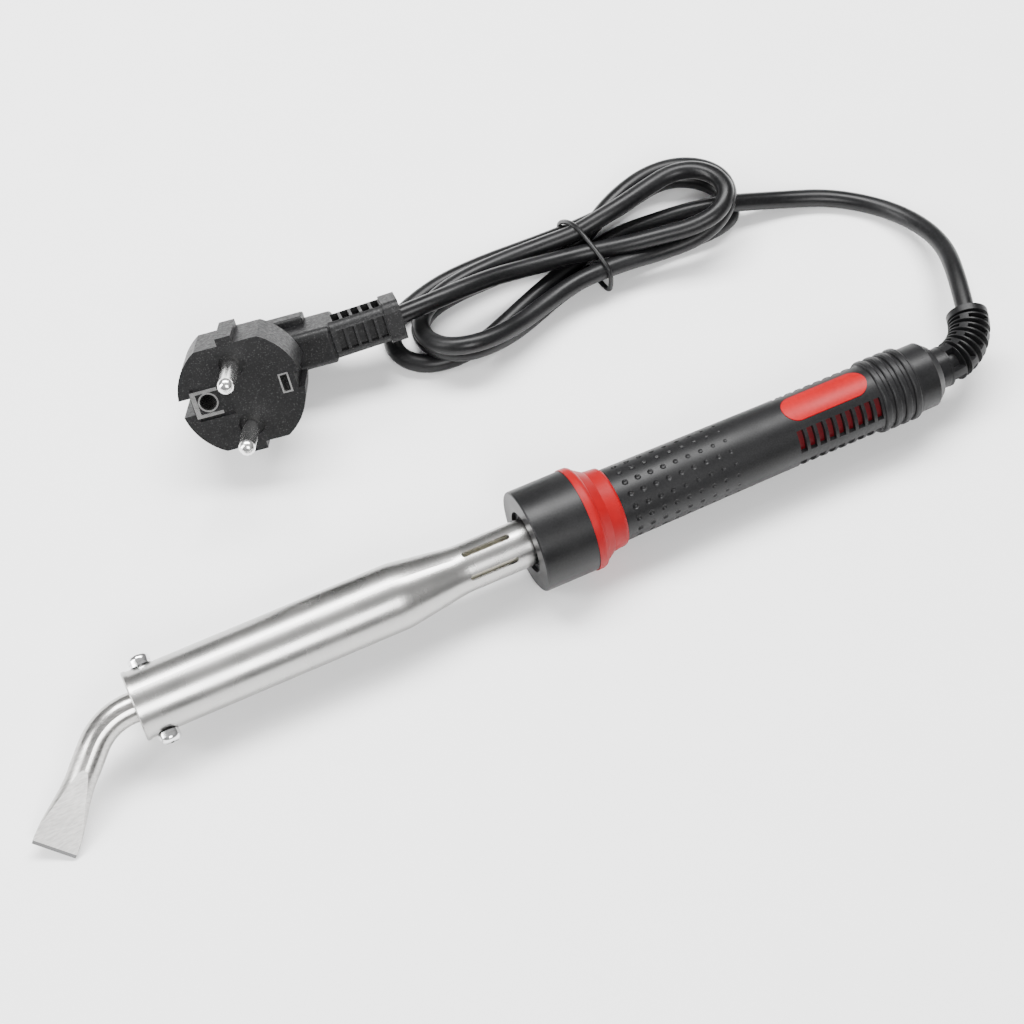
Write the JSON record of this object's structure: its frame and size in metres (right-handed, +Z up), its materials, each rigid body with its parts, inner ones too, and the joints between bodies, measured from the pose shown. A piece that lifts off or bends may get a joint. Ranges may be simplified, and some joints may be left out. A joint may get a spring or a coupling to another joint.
{
  "type": "soldering iron",
  "caption": "Mains soldering iron with a bent chisel tip clamped in a steel heater barrel, a ribbed black grip, and a folded, tied cord with an angled earthed plug.",
  "frame": {"origin": "on the bench, under the middle of the iron's bounding box without its free cord", "axes": "+X from the tip along the iron to the cord end, +Z up from the bench, +Y to the cord's side"},
  "size_m": [0.319, 0.1343, 0.0475],
  "materials": {
    "tip_metal": "plated, brushed",
    "barrel_steel": "brushed",
    "plain_steel": "plain",
    "mica": "matte",
    "heater_wire": "oxidised",
    "ceramic": "matte",
    "glass_sleeve": "woven",
    "green_wire": "satin",
    "brown_wire": "satin",
    "blue_wire": "satin",
    "screw_metal": "bright",
    "black_collar": "fine grain",
    "red_plastic": "satin",
    "black_grip": "matte",
    "red_label": "satin",
    "white_block": "satin",
    "cord_black": "satin",
    "plug_black": "fine grain",
    "pin_metal": "polished"
  },
  "bodies": {
    "iron": {"barrel": "barrel_steel", "nose_bush": "barrel_steel", "core_tube": "plain_steel", "mica_lining": "mica", "heater_winding": "heater_wire", "mica_wrap": "mica", "ceramic_bush": "ceramic", "heater_leads": "heater_wire", "lead_sleeves": "glass_sleeve", "earth_lead": "green_wire", "mounting_plate": "plain_steel", "plate_screws": "screw_metal", "front_collar": "black_collar", "handle_core": "red_plastic", "handle_grip": "black_grip", "label_plate": "red_label", "rear_cap": "black_collar", "cord_clamp": "white_block", "clamp_bar_screws": "screw_metal", "strain_relief": "cord_black", "cord_tail": "cord_black", "terminal_block": "white_block", "terminal_screws": "screw_metal", "live_core": "brown_wire", "earth_core": "green_wire", "neutral_core": "blue_wire", "plug_body": "plug_black", "pin_carrier": "white_block", "plug_pins": "pin_metal", "earth_socket": "pin_metal", "earth_clips": "pin_metal", "cord_lead": "cord_black", "cord_plug_run": "cord_black", "cord_tie": "cord_black", "cord_hank": "cord_black"},
    "tip": {"tip": "tip_metal"},
    "upper_washer": {"upper_spring_washer": "screw_metal"},
    "upper_screw": {"upper_clamp_screw": "screw_metal"},
    "lower_washer": {"lower_spring_washer": "screw_metal"},
    "lower_screw": {"lower_clamp_screw": "screw_metal"}
  },
  "joints": [
    {"name": "tip_slide", "type": "slide", "parent": "iron", "child": "tip", "axis": [-1, 0, 0], "range_m": [0, 0.06]},
    {"name": "upper_screw_lift", "type": "slide", "parent": "iron", "child": "upper_washer", "axis": [0, 0.9563, 0.2924], "range_m": [0, 0.004]},
    {"name": "upper_screw_turn", "type": "hinge", "parent": "upper_washer", "child": "upper_screw", "pos_m": [-0.11216, 0.01531, 0.01806], "axis": [0, 0.9563, 0.2924], "range_deg": [0, 2881]},
    {"name": "lower_screw_lift", "type": "slide", "parent": "iron", "child": "lower_washer", "axis": [0, -0.9563, -0.2924], "range_m": [0, 0.004]},
    {"name": "lower_screw_turn", "type": "hinge", "parent": "lower_washer", "child": "lower_screw", "pos_m": [-0.11216, -0.00305, 0.01244], "axis": [0, -0.9563, -0.2924], "range_deg": [0, 2881]}
  ],
  "couplings": [
    {"joint": "upper_screw_turn", "follows": "upper_screw_lift", "rad_per_m": 12566},
    {"joint": "lower_screw_turn", "follows": "lower_screw_lift", "rad_per_m": 12566}
  ]
}
